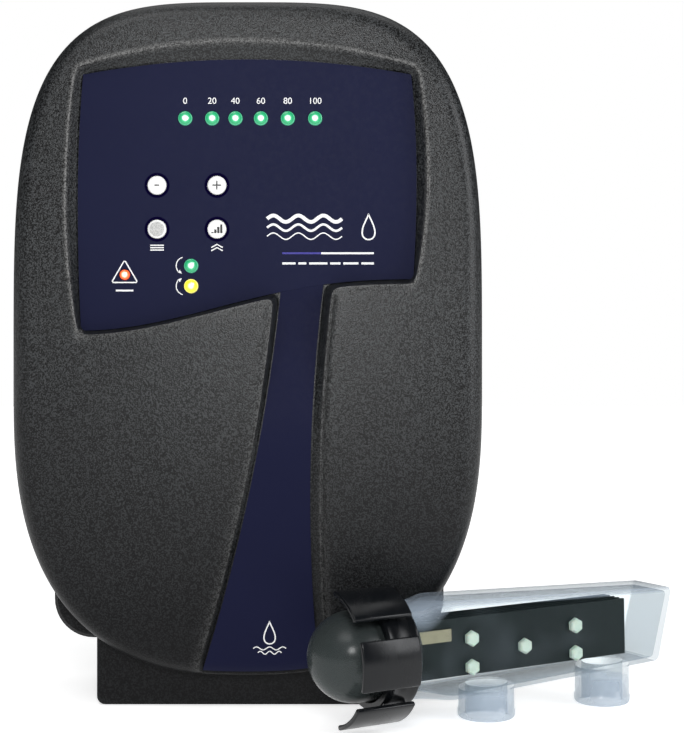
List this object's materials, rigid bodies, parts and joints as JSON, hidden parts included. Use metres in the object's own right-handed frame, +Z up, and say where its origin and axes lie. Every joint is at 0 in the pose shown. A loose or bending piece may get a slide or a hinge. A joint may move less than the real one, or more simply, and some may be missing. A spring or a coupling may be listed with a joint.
{
  "type": "salt chlorine generator",
  "caption": "Wall controller with recessed key panel, indicator lights and curved centre stripe, and a clear electrolysis cell with domed head, lugged union nut and round ports.",
  "frame": {"origin": "centre of the controller's flat base", "axes": "+Z up, the controller's front faces -Y, +X to the viewer's right, the wall bracket faces +Y"},
  "size_m": [0.3535, 0.1883, 0.375],
  "materials": {
    "case_plastic": "fine spark-eroded texture",
    "overlay_film": "satin film, navy blue",
    "led_green": "clear green lens",
    "led_red": "clear orange-red lens",
    "led_yellow": "clear yellow lens",
    "key_cap": "satin white",
    "circuit_board": "solder mask",
    "switch_black": "moulded",
    "winding_tape": "taped winding on an iron core",
    "screw_steel": "zinc plated",
    "heat_sink_aluminium": "extruded",
    "terminal_green": "moulded",
    "gasket_rubber": "matt",
    "gland_nylon": "moulded",
    "clear_plastic": "transparent, polished",
    "carrier_grey": "moulded",
    "titanium": "satin titanium",
    "electrode_coating": "oxide coated, dark grey",
    "bolt_nylon": "natural nylon",
    "nut_plastic": "glossy black"
  },
  "bodies": {
    "controller": {"front_cover": "case_plastic", "rear_case": "case_plastic", "cover_gasket": "gasket_rubber", "display_overlay": "overlay_film", "stripe_inlay": "overlay_film", "output_led_1": "led_green", "output_led_2": "led_green", "output_led_3": "led_green", "output_led_4": "led_green", "output_led_5": "led_green", "output_led_6": "led_green", "alarm_led": "led_red", "polarity_led_forward": "led_green", "polarity_led_reverse": "led_yellow", "control_board": "circuit_board", "switch_minus": "switch_black", "switch_plus": "switch_black", "switch_shutter": "switch_black", "switch_boost": "switch_black", "power_board": "circuit_board", "transformer": "winding_tape", "transformer_clamp": "screw_steel", "heat_sink": "heat_sink_aluminium", "terminal_block": "terminal_green", "fuse_holder": "switch_black", "mains_gland": "gland_nylon", "cell_gland": "gland_nylon", "cover_screw_1": "screw_steel", "cover_screw_2": "screw_steel", "cover_screw_3": "screw_steel", "cover_screw_4": "screw_steel", "wall_bracket": "screw_steel"},
    "minus_key": {"key_minus": "key_cap"},
    "plus_key": {"key_plus": "key_cap"},
    "shutter_key": {"key_shutter": "key_cap"},
    "boost_key": {"key_boost": "key_cap"},
    "cell_body": {"cell_housing": "clear_plastic"},
    "electrode_head": {"head_dome": "clear_plastic", "electrode_carrier": "carrier_grey", "head_seal": "gasket_rubber", "terminal_post_1": "titanium", "terminal_post_2": "titanium", "electrode_plate_1": "electrode_coating", "electrode_plate_2": "electrode_coating", "electrode_plate_3": "electrode_coating", "electrode_plate_4": "electrode_coating", "electrode_plate_5": "electrode_coating", "stack_bolt_1": "bolt_nylon", "stack_bolt_2": "bolt_nylon", "stack_bolt_3": "bolt_nylon", "stack_bolt_4": "bolt_nylon", "stack_bolt_5": "bolt_nylon", "contact_tab": "titanium"},
    "nut": {"union_nut": "nut_plastic"}
  },
  "joints": [
    {"name": "minus_key_press", "type": "slide", "parent": "controller", "child": "minus_key", "axis": [0, 1, 0], "range_m": [0, 0.0008], "stiffness_N_per_m": 1500},
    {"name": "plus_key_press", "type": "slide", "parent": "controller", "child": "plus_key", "axis": [0, 1, 0], "range_m": [0, 0.0008], "stiffness_N_per_m": 1500},
    {"name": "shutter_key_press", "type": "slide", "parent": "controller", "child": "shutter_key", "axis": [0, 1, 0], "range_m": [0, 0.0008], "stiffness_N_per_m": 1500},
    {"name": "boost_key_press", "type": "slide", "parent": "controller", "child": "boost_key", "axis": [0, 1, 0], "range_m": [0, 0.0008], "stiffness_N_per_m": 1500},
    {"name": "cell_stands_apart", "type": "slide", "parent": "controller", "child": "cell_body", "axis": [0, -1, 0], "range_m": [0, 0.12]},
    {"name": "head_pull_out", "type": "slide", "parent": "cell_body", "child": "electrode_head", "axis": [-0.8828, -0.4694, -0.0209], "range_m": [0, 0.15]},
    {"name": "union_nut_turn", "type": "hinge", "parent": "electrode_head", "child": "nut", "pos_m": [0.0726, -0.085, 0.0388], "axis": [-0.8828, -0.4694, -0.0209], "range_deg": [0, 540]}
  ]
}
